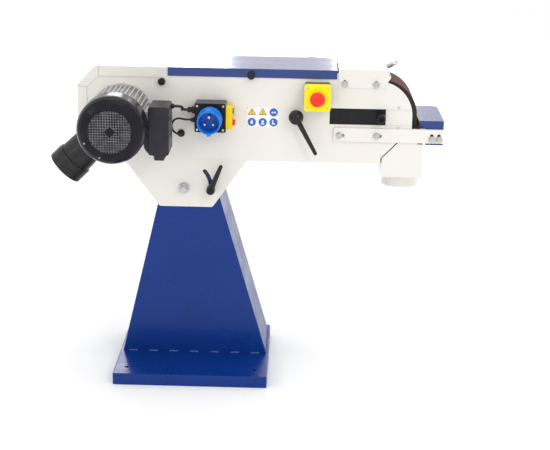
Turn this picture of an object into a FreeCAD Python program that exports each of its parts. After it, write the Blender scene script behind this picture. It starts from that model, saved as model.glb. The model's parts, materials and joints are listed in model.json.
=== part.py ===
import FreeCAD, Part
import math
import os

# Belt grinder for 150 x 2000 mm abrasive belts on a tapered pedestal, in millimetres.
# Frame: origin on the floor at the centre of the base plate, +X towards the contact wheel,
# +Y away from the motor side, +Z up.

V = FreeCAD.Vector
GAP = 0.3                  # clearance between pieces that pass each other
RUN = 0.05                 # radial clearance of a running fit

# Stand
BASE_X, BASE_Y, BASE_H, BASE_T = 420.0, 400.0, 32.0, 4.0
BASE_HOLE_X, BASE_HOLE_Y, BASE_HOLE_R = 176.0, 152.0, 6.0
RIB_T = 6.0                # flat bar under the middle of the base, down to the floor
COLUMN = [(-202.0, BASE_H), (204.0, BASE_H), (53.0, 540.0), (-84.0, 540.0)]
COLUMN_Y0, COLUMN_Y1, COLUMN_WALL = -27.7, 164.7, 3.5

# Head tilt
PIVOT_X, PIVOT_Z, PIVOT_R = -28.5, 514.0, 8.0
ARC_R, ARC_ANGLE, ARC_HALF = 74.0, 40.0, 5.8
STUD_X, STUD_R = PIVOT_X + ARC_R, 5.0
TILT_T, TILT_BOTTOM, TILT_CORNER_R = 5.0, 461.0, 10.0
LEVER_LEAN = 68.0

# Head shell
YF, SHEET = -33.0, 3.0     # outer face of the front plate, sheet thickness
YI = YF + SHEET
DOOR_Y0, DOOR_Y1 = 169.0, 172.0
SHELL_Y1 = DOOR_Y0 - GAP
BOTTOM, TOP, LEFT = 594.0, 846.0, -314.0
PLATE_TOP, DOOR_TOP = 838.0, 834.0
END_X, END_Z, END_R = 490.0, 724.6, 94.7
SKIN = 2.0                 # thickness of the covers
LID_X0, LID_X1, LID_LIP_Z = -71.5, 380.0, 822.5
LID_AXIS_Y, LID_AXIS_Z, LID_KNUCKLE_R = 175.0, 842.0, 4.0
DOOR_AXIS_X, DOOR_AXIS_Y, DOOR_KNUCKLE_R = -317.0, 174.0, 4.0
HINGE_PIN_R = 2.0
LID_KNOB, COVER_KNOB, DOOR_KNOB = (151.5, 829.0), (-87.5, 807.0), (440.0, 655.0)

# Belt and wheels
DRIVE_X, CONTACT_X, AXIS_Z, WHEEL_R = -192.5, 500.0, 722.0, 97.0
BELT_LENGTH, BELT_T = 2000.0, 1.6
BELT_MEAN_R = (BELT_LENGTH - 2 * (CONTACT_X - DRIVE_X)) / (2 * math.pi)
BELT_Y0, BELT_Y1 = -15.0, 135.0
SHAFT_R, AXLE_R, BOSS_R = 14.0, 10.0, 12.0

# Belt tensioning
TENSION_X, TENSION_Z, TENSION_SHAFT_R = 273.0, 722.0, 8.0
CRANK, CRANK_PIN_R = 15.0, 6.0
SLIDE_Y0, SLIDE_Y1, SLIDE_Z0, SLIDE_Z1 = -29.6, -20.0, 696.0, 748.0
WINDOW_X0, WINDOW_Z0, WINDOW_Z1, SLOT_COVER_X0 = 363.0, 700.0, 744.0, 513.5

# Table, arm, guard and dust hood
ARM_X0, ARM_X1, ARM_Z0, ARM_Z1, ARM_T = 375.0, 670.0, 655.0, 692.5, 8.0
ARM_Y1 = YF - GAP
ARM_Y0 = ARM_Y1 - ARM_T
ARM_BOLTS = [(389.5, 672.0), (489.5, 672.0)]
ARM_TRAVEL = 5.0
TABLE_BOLTS = [(638.5, 666.0), (657.5, 666.0)]
TABLE_TRAVEL = 10.0
TABLE_DROP = 6.0           # how far the table's flange hangs below the arm
TABLE_X0, TABLE_X1, TABLE_Y1, TABLE_TOP, TABLE_T, TABLE_LIP = 604.0, 670.0, 174.0, 715.0, 3.0, 22.0
GUARD_BOLTS = [(400.5, 810.0), (484.5, 809.0)]
GUARD_X0, GUARD_TRAVEL, GUARD_Y1 = 383.5, 6.0, 168.0
GUARD_END_TOP, GUARD_END_LOW, GUARD_TOP = (512.0, 850.0), (522.5, 828.0), 850.0
BOLT_R, BOLT_SLOT_HALF = 4.0, 4.5
HOOD_X1, HOOD_BOTTOM, OUTLET_X, DUCT_Y, OUTLET_Z = 617.0, 557.0, 565.0, 68.0, 516.0
OUTLET_R, OUTLET_WALL = 50.0, 2.0
PORT_X, PORT_Z = -288.0, 620.0

# Motor
MOTOR_FACE, FRAME_END, RIM_Y, COVER_FACE = -45.0, -218.0, -210.0, -293.0
COVER_R, FRAME_R, FRAME_HALF = 88.0, 82.0, 75.0
TBOX_X0, TBOX_X1, TBOX_Y0, TBOX_Y1, TBOX_Z0, TBOX_Z1 = -108.0, -54.0, -190.0, -97.0, 640.0, 768.0

# Switchgear
SWITCH_X0, SWITCH_X1, SWITCH_Y0, SWITCH_Z0, SWITCH_Z1 = 4.0, 87.0, -88.0, 682.0, 760.0
INLET_X, INLET_Z, INLET_LENGTH, INLET_R = 45.5, 719.0, 55.0, 33.0
PLATE_X1, BUTTON_Y, BUTTON_R, START_Z, STOP_Z = 104.0, -63.0, 8.0, 737.0, 706.0
ESTOP_X, ESTOP_Z, ESTOP_HALF, ESTOP_DEPTH, ESTOP_LID = 328.5, 779.0, 35.0, 50.0, 22.0

# Leads held between the motor, the switch box and the front plate
MOTOR_LEAD_D, CONTROL_LEAD_D = 7.5, 5.5
MOTOR_LEAD = [(-47, -115, 757), (-34, -115, 757), (-27, -103, 752.5), (-27.5, -88, 745),
              (-31, -73, 739.5), (-27, -60, 737), (-16, -60, 737)]
CONTROL_LEAD = [(-8, -60, 710), (-24, -60, 710), (-40, -62, 714), (-53, -62, 709), (-60, -61, 695),
                (-57.5, -59, 681), (-48, -57, 671), (-36, -52, 667), (-36, -41, 667)]


def box(x0, x1, y0, y1, z0, z1):
    return Part.makeBox(x1 - x0, y1 - y0, z1 - z0, V(x0, y0, z0))


def cyl_y(x, z, r, y0, y1):
    return Part.makeCylinder(r, y1 - y0, V(x, y0, z), V(0, 1, 0))


def cyl_x(y, z, r, x0, x1):
    return Part.makeCylinder(r, x1 - x0, V(x0, y, z), V(1, 0, 0))


def cyl_z(x, y, r, z0, z1):
    return Part.makeCylinder(r, z1 - z0, V(x, y, z0), V(0, 0, 1))


def ring_y(x, z, outer, inner, y0, y1):
    return cyl_y(x, z, outer, y0, y1).cut(cyl_y(x, z, inner, y0 - 1, y1 + 1))


def prism_y(points, y0, y1):
    """A straight-sided outline of (x, z) points, extruded from y0 to y1."""
    wire = Part.makePolygon([V(x, y0, z) for x, z in points + points[:1]])
    return Part.Face(wire).extrude(V(0, y1 - y0, 0))


def hex_y(x, z, across, y0, y1):
    r = across / math.sqrt(3)
    turns = [math.radians(30 + 60 * k) for k in range(6)]
    return prism_y([(x + r * math.cos(a), z + r * math.sin(a)) for a in turns], y0, y1)


def edges_along(shape, direction):
    """The straight edges that run along one axis."""
    found = []
    for edge in shape.Edges:
        straight = isinstance(edge.Curve, Part.Line)
        if straight and abs(edge.tangentAt(edge.FirstParameter).dot(direction)) > 0.99:
            found.append(edge)
    return found


def rounded_box_y(x0, x1, y0, y1, z0, z1, r):
    shape = box(x0, x1, y0, y1, z0, z1)
    return shape.makeFillet(r, edges_along(shape, V(0, 1, 0)))


def soften_front(shape, y, r):
    """Round the rim of a housing where it meets its flat front face at y."""
    rim = [e for e in shape.Edges if abs(e.BoundBox.YMax - y) < 0.01 and abs(e.BoundBox.YMin - y) < 0.01]
    return shape.makeFillet(r, rim)


def slot_y(x, z, half, dx, dz, y0, y1):
    """A slot from (x, z) to (x + dx, z + dz) along X or Z."""
    ends = cyl_y(x, z, half, y0, y1).fuse(cyl_y(x + dx, z + dz, half, y0, y1))
    if dx:
        return ends.fuse(box(x, x + dx, y0, y1, z - half, z + half))
    return ends.fuse(box(x - half, x + half, y0, y1, z, z + dz))


def revolve_y(profile, x, z):
    """A closed outline of (radius, y) points turned about the Y axis through (x, z)."""
    wire = Part.makePolygon([V(x + r, y, z) for r, y in profile + profile[:1]])
    return Part.Face(wire).revolve(V(x, 0, z), V(0, 1, 0), 360)


def one(first, *others):
    for other in others:
        first = first.fuse(other)
    return first.removeSplitter()


def save(name, *shapes):
    solids = [solid for shape in shapes for solid in shape.Solids]
    for solid in solids:
        if not solid.isValid() or solid.Volume <= 0:
            raise ValueError(name + " has a bad solid")
    Part.makeCompound(solids).exportStep("parts/" + name + ".step")


# ---- stand ---------------------------------------------------------------------------------

def inset_column():
    """The column's outline drawn in by its wall, open at the foot and closed at the top."""
    (x0, z0), (x1, _), (x2, z2), (x3, _) = COLUMN
    w = COLUMN_WALL
    return [(x0 + w, z0 - 1), (x1 - w, z0 - 1), (x2 - w, z2 - w), (x3 + w, z2 - w)]


def make_stand():
    pan = box(-BASE_X / 2, BASE_X / 2, -BASE_Y / 2, BASE_Y / 2, 0, BASE_H)
    pan = pan.makeFillet(6.0, edges_along(pan, V(0, 0, 1)))
    pan = pan.makeFillet(2.5, [e for e in pan.Edges if e.BoundBox.ZMin > BASE_H - 0.01])
    hollow = box(-BASE_X / 2 + BASE_T, BASE_X / 2 - BASE_T, -BASE_Y / 2 + BASE_T, BASE_Y / 2 - BASE_T,
                 -1, BASE_H - BASE_T)
    stiffener = box(-BASE_X / 2 + BASE_T, BASE_X / 2 - BASE_T, -RIB_T / 2, RIB_T / 2, 0, BASE_H - BASE_T)
    pan = one(pan.cut(hollow), stiffener)
    for sx in (-1, 1):
        for sy in (-1, 1):
            pan = pan.cut(cyl_z(sx * BASE_HOLE_X, sy * BASE_HOLE_Y, BASE_HOLE_R, 0, BASE_H + 1))
    save("base_plate", pan)

    column = prism_y(COLUMN, COLUMN_Y0, COLUMN_Y1)
    slanted = [e for e in column.Edges if e.BoundBox.ZMax - e.BoundBox.ZMin > 100]
    column = column.makeFillet(3.0, slanted)
    column = column.cut(prism_y(inset_column(), COLUMN_Y0 + COLUMN_WALL, COLUMN_Y1 - COLUMN_WALL))
    column = column.cut(cyl_y(PIVOT_X, PIVOT_Z, PIVOT_R, COLUMN_Y0 - 1, COLUMN_Y1 + 1))
    column = column.cut(cyl_y(STUD_X, PIVOT_Z, STUD_R, COLUMN_Y0 - 1, COLUMN_Y0 + COLUMN_WALL + 1))
    save("pedestal", column)


def make_tilt_pivot():
    front, rear = YF - GAP, COLUMN_Y1 + GAP + TILT_T + GAP
    shank = cyl_y(PIVOT_X, PIVOT_Z, PIVOT_R, front - 3, rear + 20)
    head = hex_y(PIVOT_X, PIVOT_Z, 24, front - 13, front - 3)
    dome = Part.makeSphere(10.5, V(PIVOT_X, front - 13, PIVOT_Z))
    dome = dome.common(box(PIVOT_X - 12, PIVOT_X + 12, front - 20, front - 13, PIVOT_Z - 12, PIVOT_Z + 12))
    save("pivot_bolt", one(shank, head, dome))
    nut = hex_y(PIVOT_X, PIVOT_Z, 24, rear + 3, rear + 16)
    nut = nut.cut(cyl_y(PIVOT_X, PIVOT_Z, PIVOT_R, rear, rear + 20))
    save("pivot_nut_and_washers", nut, ring_y(PIVOT_X, PIVOT_Z, 15, PIVOT_R, rear, rear + 3),
         ring_y(PIVOT_X, PIVOT_Z, 15, PIVOT_R, front - 3, front),
         ring_y(STUD_X, PIVOT_Z, 12, STUD_R, front - 3, front))
    inner = COLUMN_Y0 + COLUMN_WALL
    stud = one(cyl_y(STUD_X, PIVOT_Z, STUD_R, front - 38, inner + 12),
               hex_y(STUD_X, PIVOT_Z, 17, inner, inner + 9))
    save("clamp_stud", stud)

    back = front - 3 - GAP
    bore = STUD_R + RUN
    hub = revolve_y([(bore, back), (10.5, back), (12.0, back - 6), (12.0, back - 22), (10.0, back - 30),
                     (bore, back - 30)], STUD_X, PIVOT_Z)
    lean = math.radians(LEVER_LEAN)
    along = V(math.cos(lean), -0.10, math.sin(lean)).normalize()
    start = V(STUD_X, back - 19, PIVOT_Z)
    arm = Part.makeCone(8.0, 5.5, 74, start, along).fuse(Part.makeSphere(5.5, start + along * 74))
    save("clamp_lever", one(hub, arm.cut(cyl_y(STUD_X, PIVOT_Z, bore, back - 40, back + 1))))


def make_tilt_plates():
    outline = [(-194.5, BOTTOM), (142.5, BOTTOM), (49.5, TILT_BOTTOM), (-95.5, TILT_BOTTOM)]
    for name, y in (("front_tilt_plate", YF), ("rear_tilt_plate", COLUMN_Y1 + GAP)):
        plate = prism_y(outline, y, y + TILT_T)
        low = [e for e in edges_along(plate, V(0, 1, 0)) if e.BoundBox.ZMax < BOTTOM - 1]
        plate = plate.makeFillet(TILT_CORNER_R, low)
        plate = plate.cut(cyl_y(PIVOT_X, PIVOT_Z, PIVOT_R + RUN, y - 1, y + TILT_T + 1))
        if name == "front_tilt_plate":
            plate = plate.cut(arc_slot(y - 1, y + TILT_T + 1))
        save(name, plate)


def arc_slot(y0, y1):
    """The curved slot in which the clamp stud travels as the head tilts."""
    end = math.radians(ARC_ANGLE)
    reach = 2 * ARC_R
    wedge = prism_y([(PIVOT_X, PIVOT_Z), (PIVOT_X + reach, PIVOT_Z),
                     (PIVOT_X + reach * math.cos(end), PIVOT_Z + reach * math.sin(end))], y0, y1)
    slot = ring_y(PIVOT_X, PIVOT_Z, ARC_R + ARC_HALF, ARC_R - ARC_HALF, y0, y1).common(wedge)
    for a in (0.0, end):
        x, z = PIVOT_X + ARC_R * math.cos(a), PIVOT_Z + ARC_R * math.sin(a)
        slot = slot.fuse(cyl_y(x, z, ARC_HALF, y0, y1))
    return slot


# ---- head shell ----------------------------------------------------------------------------

def side_plate(top, bottom, y0, y1):
    """The long side of the head: straight with cut corners, and round at the contact wheel."""
    right = END_X + END_R
    a = math.radians(45)
    low = [V(-257.5, y0, bottom), V(504, y0, bottom), V(504, y0, 610), V(546.5, y0, 654),
           V(right, y0, 693.5), V(right, y0, END_Z)]
    high = [V(END_X, y0, END_Z + END_R), V(400, y0, END_Z + END_R), V(383, y0, top), V(-269, y0, top),
            V(-311.7, y0, 792.5), V(-311.7, y0, 647), low[0]]
    mid = V(END_X + END_R * math.cos(a), y0, END_Z + END_R * math.sin(a))
    edges = [Part.LineSegment(p, q).toShape() for p, q in zip(low, low[1:])]
    edges.append(Part.Arc(low[-1], mid, high[0]).toShape())
    edges += [Part.LineSegment(p, q).toShape() for p, q in zip(high, high[1:])]
    return Part.Face(Part.Wire(edges)).extrude(V(0, y1 - y0, 0))


SLOT_SCREWS = [(547.5, 749.0), (547.5, 692.0)]
MOTOR_BOLT_CIRCLE = 69.0
MOTOR_BOLTS = [(DRIVE_X + MOTOR_BOLT_CIRCLE * math.cos(math.radians(45 + 90 * k)),
                AXIS_Z + MOTOR_BOLT_CIRCLE * math.sin(math.radians(45 + 90 * k))) for k in range(4)]


def make_front_plate():
    plate = side_plate(PLATE_TOP, BOTTOM, YF, YI)
    cuts = [box(WINDOW_X0, 700, YF - 1, YI + 1, WINDOW_Z0, WINDOW_Z1),
            cyl_y(DRIVE_X, AXIS_Z, 42, YF - 1, YI + 1),
            cyl_y(TENSION_X, TENSION_Z, TENSION_SHAFT_R + RUN, YF - 1, YI + 1),
            cyl_y(-36, 667, 6, YF - 1, YI + 1),
            cyl_y(COVER_KNOB[0], COVER_KNOB[1], 3.0 + RUN, YF - 1, YI + 1)]
    cuts += [cyl_y(x, z, BOLT_R, YF - 1, YI + 1) for x, z in ARM_BOLTS + GUARD_BOLTS + MOTOR_BOLTS]
    cuts += [cyl_y(x, z, 2.5, YF - 1, YI + 1) for x, z in SLOT_SCREWS]
    for cut in cuts:
        plate = plate.cut(cut)
    save("front_plate", plate)
    cover = side_plate(PLATE_TOP, BOTTOM, YI, YI + SKIN).common(
        box(SLOT_COVER_X0, 700, YI - 1, YI + 5, WINDOW_Z0 - 14, WINDOW_Z1 + 14))
    for x, z in SLOT_SCREWS:
        cover = cover.cut(cyl_y(x, z, 2.5, YI - 1, YI + 5))
    save("slot_cover", cover)


def make_inner_frame():
    floor = box(-256, 503, YI, SHELL_Y1, BOTTOM, BOTTOM + SHEET)
    rail = box(-262, LID_X1 + 1, 160, 168, 812, LID_AXIS_Z - 0.6)
    posts = [box(x, x + 6, 140, 168, BOTTOM + SHEET, 820) for x in (-250.0, 60.0, 300.0)]
    save("inner_frame", one(floor, rail, *posts))


def make_end_cover():
    y0 = YF - SKIN
    skin = [(-72, TOP), (-265.5, TOP), (LEFT, 794), (LEFT, 646), (-262, BOTTOM), (-260.59, 595.41),
            (LEFT + SKIN, 646.84), (LEFT + SKIN, 793.2), (-264.63, TOP - SKIN), (-72, TOP - SKIN)]
    wrap = prism_y(skin, y0, SHELL_Y1)
    lips = [[(-72, TOP), (-256, TOP), (-256, 818), (-100, 818), (-100, PLATE_TOP + GAP),
             (-72, PLATE_TOP + GAP)],
            [(-257, TOP), (-265.5, TOP), (LEFT, 794), (LEFT, 791), (-289, 788.5), (-257, 818.5)],
            [(LEFT, 790), (-289, 787.5), (-288.5, 672), (LEFT, 646)]]
    cover = one(wrap, *[prism_y(lip, y0, YF) for lip in lips])
    out = V(-1, 0, -1).normalize()
    mouth = Part.makeCylinder(41, 40, V(PORT_X, DUCT_Y, PORT_Z) - out * 20, out)
    save("end_cover", cover.cut(mouth))
    foot = V(PORT_X, DUCT_Y, PORT_Z) + out * 0.2
    body = one(Part.makeCylinder(50, 4, foot, out), Part.makeCone(46, 49, 72, foot + out * 4, out),
               Part.makeCylinder(53, 41, foot + out * 76, out))
    bore = Part.makeCone(41, 44.5, 78, foot, out).fuse(Part.makeCylinder(49.5, 50, foot + out * 78, out))
    save("suction_port", body.cut(bore))


def make_knob(x, z, y_face, side, r, height):
    """A ribbed thumb knob that stands out from y_face; side is the way it points along Y."""
    y_low, y_high = sorted((y_face, y_face + side * height))
    knob = cyl_y(x, z, r, y_low, y_high)
    outer = y_face + side * height
    closed = [e for e in knob.Edges if e.Closed and e.BoundBox.YLength < 0.1]
    rim = [e for e in closed if abs(e.BoundBox.YMax - outer) < 0.1]
    knob = knob.makeFillet(1.5, rim)
    for k in range(10):
        a = math.radians(36 * k)
        knob = knob.cut(cyl_y(x + (r + 1.2) * math.cos(a), z + (r + 1.2) * math.sin(a), 2.2,
                              y_low - 1, y_high + 1))
    return knob


def add_stem(knob, x, z, y0, y1, r):
    return one(knob, cyl_y(x, z, r, y0, y1))


LID_HINGES, LID_KNUCKLE = (-20.0, 290.0), 16.0
DOOR_HINGES, DOOR_KNUCKLE = (670.0, 752.0), 13.0


def make_lid():
    y0 = YF - GAP - SKIN
    lid = one(box(LID_X0, LID_X1, y0, 168, TOP - SKIN, TOP),
              box(LID_X0, LID_X1, y0, y0 + SKIN, LID_LIP_Z, TOP))
    along = [e for e in edges_along(lid, V(1, 0, 0)) if e.BoundBox.ZMin > TOP - 0.1]
    fold = [e for e in along if e.BoundBox.YMax < y0 + 0.1]
    lid = lid.makeFillet(1.9, fold)
    x, z = LID_KNOB
    lid = lid.cut(cyl_y(x, z, 3 + RUN, y0 - 1, y0 + SKIN + 1))
    for x0 in LID_HINGES:
        xa, xb = x0 + LID_KNUCKLE + 0.2, x0 + 2 * LID_KNUCKLE - 0.2
        leaf = box(xa, xb, 150, LID_AXIS_Y, LID_AXIS_Z + 0.3, TOP - SKIN)
        leaf = leaf.fuse(cyl_x(LID_AXIS_Y, LID_AXIS_Z, LID_KNUCKLE_R, xa, xb))
        lid = lid.fuse(leaf.cut(cyl_x(LID_AXIS_Y, LID_AXIS_Z, HINGE_PIN_R + RUN, xa - 1, xb + 1)))
    save("top_lid", one(lid))
    save("lid_knob", add_stem(make_knob(x, z, y0 - GAP, -1, 10.5, 14), x, z, y0 - GAP, y0 + SKIN, 3))
    x, z = COVER_KNOB
    save("end_cover_knob", add_stem(make_knob(x, z, YF - GAP, -1, 10, 12), x, z, YF - GAP, YI + 6, 3))


def make_door():
    door = side_plate(DOOR_TOP, BOTTOM + 1, DOOR_Y0, DOOR_Y1)
    x, z = DOOR_KNOB
    door = door.cut(cyl_y(x, z, 3 + RUN, DOOR_Y0 - 1, DOOR_Y1 + 1))
    for z0 in DOOR_HINGES:
        za, zb = z0 + DOOR_KNUCKLE + 0.2, z0 + 2 * DOOR_KNUCKLE - 0.2
        leaf = box(DOOR_AXIS_X, DOOR_AXIS_X + 36, DOOR_Y1, DOOR_Y1 + 1.6, za, zb)
        leaf = leaf.fuse(cyl_z(DOOR_AXIS_X, DOOR_AXIS_Y, DOOR_KNUCKLE_R, za, zb))
        door = door.fuse(leaf.cut(cyl_z(DOOR_AXIS_X, DOOR_AXIS_Y, HINGE_PIN_R + RUN, za - 1, zb + 1)))
    save("rear_door", one(door))
    save("door_knob", add_stem(make_knob(x, z, DOOR_Y1 + GAP, 1, 14, 16), x, z, DOOR_Y0, DOOR_Y1 + GAP, 3))


def make_hinges():
    leaves, pins = [], []
    for x0 in LID_HINGES:
        for k in (0, 2):
            xa, xb = x0 + k * LID_KNUCKLE + 0.2, x0 + (k + 1) * LID_KNUCKLE - 0.2
            leaf = box(xa, xb, 168, LID_AXIS_Y, LID_AXIS_Z - 5, LID_AXIS_Z - 1)
            leaf = leaf.fuse(cyl_x(LID_AXIS_Y, LID_AXIS_Z, LID_KNUCKLE_R, xa, xb))
            leaves.append(one(leaf.cut(cyl_x(LID_AXIS_Y, LID_AXIS_Z, HINGE_PIN_R + RUN, xa - 1, xb + 1))))
        pins.append(cyl_x(LID_AXIS_Y, LID_AXIS_Z, HINGE_PIN_R, x0 - 1, x0 + 3 * LID_KNUCKLE + 1))
    for z0 in DOOR_HINGES:
        for k in (0, 2):
            za, zb = z0 + k * DOOR_KNUCKLE + 0.2, z0 + (k + 1) * DOOR_KNUCKLE - 0.2
            leaf = box(LEFT - 1.6, LEFT, 140, DOOR_AXIS_Y, za, zb)
            leaf = leaf.fuse(cyl_z(DOOR_AXIS_X, DOOR_AXIS_Y, DOOR_KNUCKLE_R, za, zb))
            leaves.append(one(leaf.cut(cyl_z(DOOR_AXIS_X, DOOR_AXIS_Y, HINGE_PIN_R + RUN, za - 1, zb + 1))))
        pins.append(cyl_z(DOOR_AXIS_X, DOOR_AXIS_Y, HINGE_PIN_R, z0 - 1, z0 + 3 * DOOR_KNUCKLE + 1))
    save("hinge_leaves", *leaves)
    save("hinge_pins", *pins)


# ---- belt drive ----------------------------------------------------------------------------

def stadium(r, y0, y1):
    """The outline of a belt loop of radius r about both wheels."""
    z = AXIS_Z
    edges = [Part.LineSegment(V(DRIVE_X, y0, z + r), V(CONTACT_X, y0, z + r)).toShape(),
             Part.Arc(V(CONTACT_X, y0, z + r), V(CONTACT_X + r, y0, z), V(CONTACT_X, y0, z - r)).toShape(),
             Part.LineSegment(V(CONTACT_X, y0, z - r), V(DRIVE_X, y0, z - r)).toShape(),
             Part.Arc(V(DRIVE_X, y0, z - r), V(DRIVE_X - r, y0, z), V(DRIVE_X, y0, z + r)).toShape()]
    return Part.Face(Part.Wire(edges)).extrude(V(0, y1 - y0, 0))


def make_wheels():
    outer, inner = BELT_MEAN_R + BELT_T / 2, BELT_MEAN_R - BELT_T / 2
    save("abrasive_belt", stadium(outer, BELT_Y0, BELT_Y1).cut(stadium(inner, BELT_Y0 - 1, BELT_Y1 + 1)))
    save("drive_wheel", revolve_y([(SHAFT_R, BELT_Y0), (28, BELT_Y0), (28, 50), (86, 50), (86, BELT_Y0),
                                   (WHEEL_R, BELT_Y0), (WHEEL_R, BELT_Y1), (86, BELT_Y1), (86, 62),
                                   (28, 62), (28, 90), (SHAFT_R, 90)], DRIVE_X, AXIS_Z))
    bearing, rim = 24.0, 84.0
    save("contact_wheel_hub", revolve_y([(bearing, -12), (32, -12), (32, 54), (76, 54), (76, BELT_Y0),
                                         (rim, BELT_Y0), (rim, BELT_Y1), (76, BELT_Y1), (76, 66), (32, 66),
                                         (32, 125), (bearing, 125)], CONTACT_X, AXIS_Z))
    tyre = ring_y(CONTACT_X, AXIS_Z, WHEEL_R, rim, BELT_Y0, BELT_Y1)
    grooves = [ring_y(CONTACT_X, AXIS_Z, WHEEL_R + 1, WHEEL_R - 3, y, y + 3) for y in range(-3, 125, 12)]
    save("contact_wheel_tyre", tyre.cut(Part.makeCompound(grooves)))
    save("contact_wheel_bearings", *[ring_y(CONTACT_X, AXIS_Z, bearing, AXLE_R + RUN, y, y + 14)
                                     for y in (-10.0, 108.0)])


def make_tensioner():
    slide = box(250, SLOT_COVER_X0 - 0.5, SLIDE_Y0, SLIDE_Y1, SLIDE_Z0, SLIDE_Z1)
    yoke = box(TENSION_X - 11, TENSION_X + CRANK + 11, SLIDE_Y0 - 1, SLIDE_Y1 + 1,
               TENSION_Z - CRANK - 9, TENSION_Z + 12)
    slide = slide.cut(yoke).cut(cyl_y(CONTACT_X, AXIS_Z, AXLE_R, SLIDE_Y0 - 1, SLIDE_Y1 + 1))
    save("tension_slide", slide)
    axle = one(cyl_y(CONTACT_X, AXIS_Z, AXLE_R, SLIDE_Y0, 128),
               cyl_y(CONTACT_X, AXIS_Z, BOSS_R, -65, SLIDE_Y0),
               cyl_y(CONTACT_X, AXIS_Z, 14, SLIDE_Y1, BELT_Y0 - GAP))
    axle = axle.makeChamfer(1.2, [e for e in axle.Edges if e.Closed and abs(e.BoundBox.YMax + 65) < 0.1
                                  and e.BoundBox.YLength < 0.1])
    save("wheel_axle", axle.cut(hex_y(CONTACT_X, AXIS_Z, 12, -66, -55)))
    rails = [box(x0, x1, YI, SLIDE_Y1, z0, z1) for x0, x1 in ((300.0, 512.0),)
             for z0, z1 in ((SLIDE_Z0 - 8, SLIDE_Z0 - GAP), (SLIDE_Z1 + GAP, SLIDE_Z1 + 8))]
    save("slide_rails", *rails, box(176, 182, YI, -18, TENSION_Z - 12, TENSION_Z + 12))
    save("tension_spring", cyl_x(-24, TENSION_Z, 5.5, 182, 250).cut(cyl_x(-24, TENSION_Z, 3.8, 181, 251)))
    shaft = cyl_y(TENSION_X, TENSION_Z, TENSION_SHAFT_R, YF - 14, SLIDE_Y0 - 0.1)
    web = cyl_y(TENSION_X, TENSION_Z, TENSION_SHAFT_R, SLIDE_Y1 + GAP, SLIDE_Y1 + 3)
    arm = one(cyl_y(TENSION_X, TENSION_Z, 6, SLIDE_Y0 - 0.1, SLIDE_Y1 + 3), web,
              cyl_y(TENSION_X + CRANK, TENSION_Z, CRANK_PIN_R, SLIDE_Y0 + 0.1, SLIDE_Y1 + 3),
              box(TENSION_X, TENSION_X + CRANK, SLIDE_Y1 + GAP, SLIDE_Y1 + 3, TENSION_Z - 6, TENSION_Z + 6))
    save("tension_shaft", one(shaft, arm))
    centre = V(TENSION_X, YF - 26, TENSION_Z)
    ball = Part.makeSphere(20, centre).common(
        box(TENSION_X - 21, TENSION_X + 21, YF - 50, YF - 8, TENSION_Z - 21, TENSION_Z + 21))
    turn = math.atan2(626 - TENSION_Z, 54.0)
    along = V(math.cos(turn), -0.08, math.sin(turn)).normalize()
    rod = Part.makeCone(7.5, 5.0, 110, centre, along).fuse(Part.makeSphere(5.0, centre + along * 110))
    handle = one(ball, rod).cut(cyl_y(TENSION_X, TENSION_Z, TENSION_SHAFT_R, YF - 14, YF))
    save("tension_lever", handle)


def make_platen():
    top = AXIS_Z + BELT_MEAN_R - BELT_T / 2 - GAP
    plate = box(-60, 375, BELT_Y0 + 4, BELT_Y1 - 4, top - 8, top - 2)
    brackets = [box(x, x + 6, YI, BELT_Y1 - 20, 762, top - 8) for x in (20.0, 214.0)]
    save("platen", one(plate, *brackets))
    save("platen_graphite_pad", box(-56, 371, BELT_Y0 + 6, BELT_Y1 - 6, top - 2, top))


# ---- table, guard and hood -----------------------------------------------------------------

def hex_bolt(x, z, y_seat, reach):
    """A hexagon bolt and washer on a face at y_seat, reaching into the machine."""
    head = hex_y(x, z, 13, y_seat - 7.3, y_seat - 2)
    return one(cyl_y(x, z, 9, y_seat - 2, y_seat), head, cyl_y(x, z, BOLT_R, y_seat - 9, y_seat + reach))


def make_table():
    arm = rounded_box_y(ARM_X0, ARM_X1, ARM_Y0, ARM_Y1, ARM_Z0, ARM_Z1, 3)
    for x, z in ARM_BOLTS:
        arm = arm.cut(slot_y(x, z, BOLT_SLOT_HALF, ARM_TRAVEL + 6, 0, ARM_Y0 - 1, ARM_Y1 + 1))
    for x, z in TABLE_BOLTS:
        arm = arm.cut(slot_y(x, z, BOLT_SLOT_HALF, 0, TABLE_TRAVEL, ARM_Y0 - 1, ARM_Y1 + 1))
    save("table_arm", arm.cut(box(647, 648, ARM_Y0 - 1, ARM_Y1 + 1, ARM_Z0 - 1, ARM_Z0 + 5)))

    y0, y1 = YF, YI
    top = box(TABLE_X0, TABLE_X1, y0, TABLE_Y1, TABLE_TOP - TABLE_T, TABLE_TOP)
    far = [e for e in edges_along(top, V(0, 0, 1)) if e.BoundBox.YMin > 100 and e.BoundBox.XMin > 650]
    top = top.makeFillet(22, far)
    low = TABLE_TOP - TABLE_LIP
    lip = prism_y([(TABLE_X0, TABLE_TOP - 6), (TABLE_X0 + 16, low), (622, low), (622, ARM_Z0 - TABLE_DROP),
                   (TABLE_X1, ARM_Z0 - TABLE_DROP), (TABLE_X1, TABLE_TOP - 1),
                   (TABLE_X0, TABLE_TOP - 1)], y0, y1)
    side = box(TABLE_X1 - TABLE_T, TABLE_X1, y0, TABLE_Y1 - 22, low, TABLE_TOP - 1)
    table = one(top, lip, side)
    for x, z in TABLE_BOLTS:
        table = table.cut(cyl_y(x, z, BOLT_R, y0 - 1, y1 + 1))
    save("work_table", table)
    bolts = []
    for x, z in TABLE_BOLTS:
        bolts.append(hex_bolt(x, z, ARM_Y0 - GAP, ARM_T + 2 * GAP + SHEET + 8))
        bolts.append(hex_y(x, z, 13, y1, y1 + 6).cut(cyl_y(x, z, BOLT_R, y1 - 1, y1 + 7)))
    save("table_bolts", *bolts)


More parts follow.
